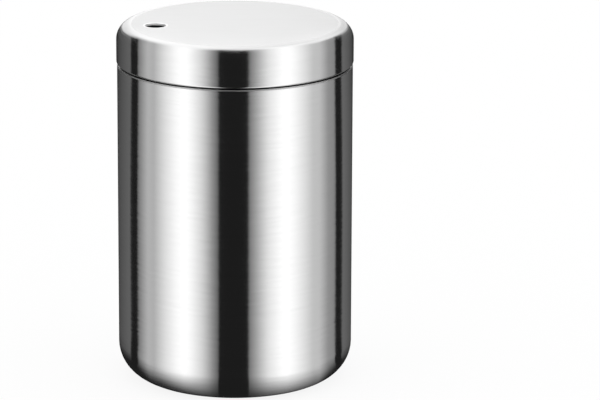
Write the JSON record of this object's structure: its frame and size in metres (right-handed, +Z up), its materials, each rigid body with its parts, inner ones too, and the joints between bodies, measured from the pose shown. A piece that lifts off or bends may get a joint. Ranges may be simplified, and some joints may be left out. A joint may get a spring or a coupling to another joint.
{
  "type": "toothpick dispenser",
  "caption": "Round drawn-steel toothpick dispenser: a can with a rounded foot, a flush lift-off lid with a small off-centre outlet, and loose toothpicks standing inside.",
  "frame": {"origin": "centre of the foot, on the surface the dispenser stands on", "axes": "+Z up the axis, out through the lid; -X on the side of the lid's outlet; -Y towards the viewer"},
  "size_m": [0.0502, 0.0502, 0.0772],
  "materials": {
    "can_steel": "fine brushing round the wall",
    "lid_steel": "satin top, fine brushing round the side",
    "collar_steel": "mill finish",
    "seal_silicone": "matte, slightly milky",
    "bamboo": "dry, fine fibres along the pick, golden points"
  },
  "bodies": {
    "can": {"can_shell": "can_steel", "toothpicks_ring_1": "bamboo", "toothpicks_ring_2": "bamboo", "toothpicks_ring_3": "bamboo", "toothpicks_ring_4": "bamboo", "toothpicks_ring_5": "bamboo"},
    "seal_ring": {"lid_seal_ring": "seal_silicone"},
    "lid": {"lid_cap": "lid_steel", "lid_collar": "collar_steel"}
  },
  "joints": [
    {"name": "lid_lift", "type": "slide", "parent": "can", "child": "seal_ring", "axis": [0, 0, 1], "range_m": [0, 0.08]},
    {"name": "lid_turn", "type": "hinge", "parent": "seal_ring", "child": "lid", "pos_m": [0, 0, 0.0671], "axis": [0, 0, 1], "continuous": true}
  ]
}
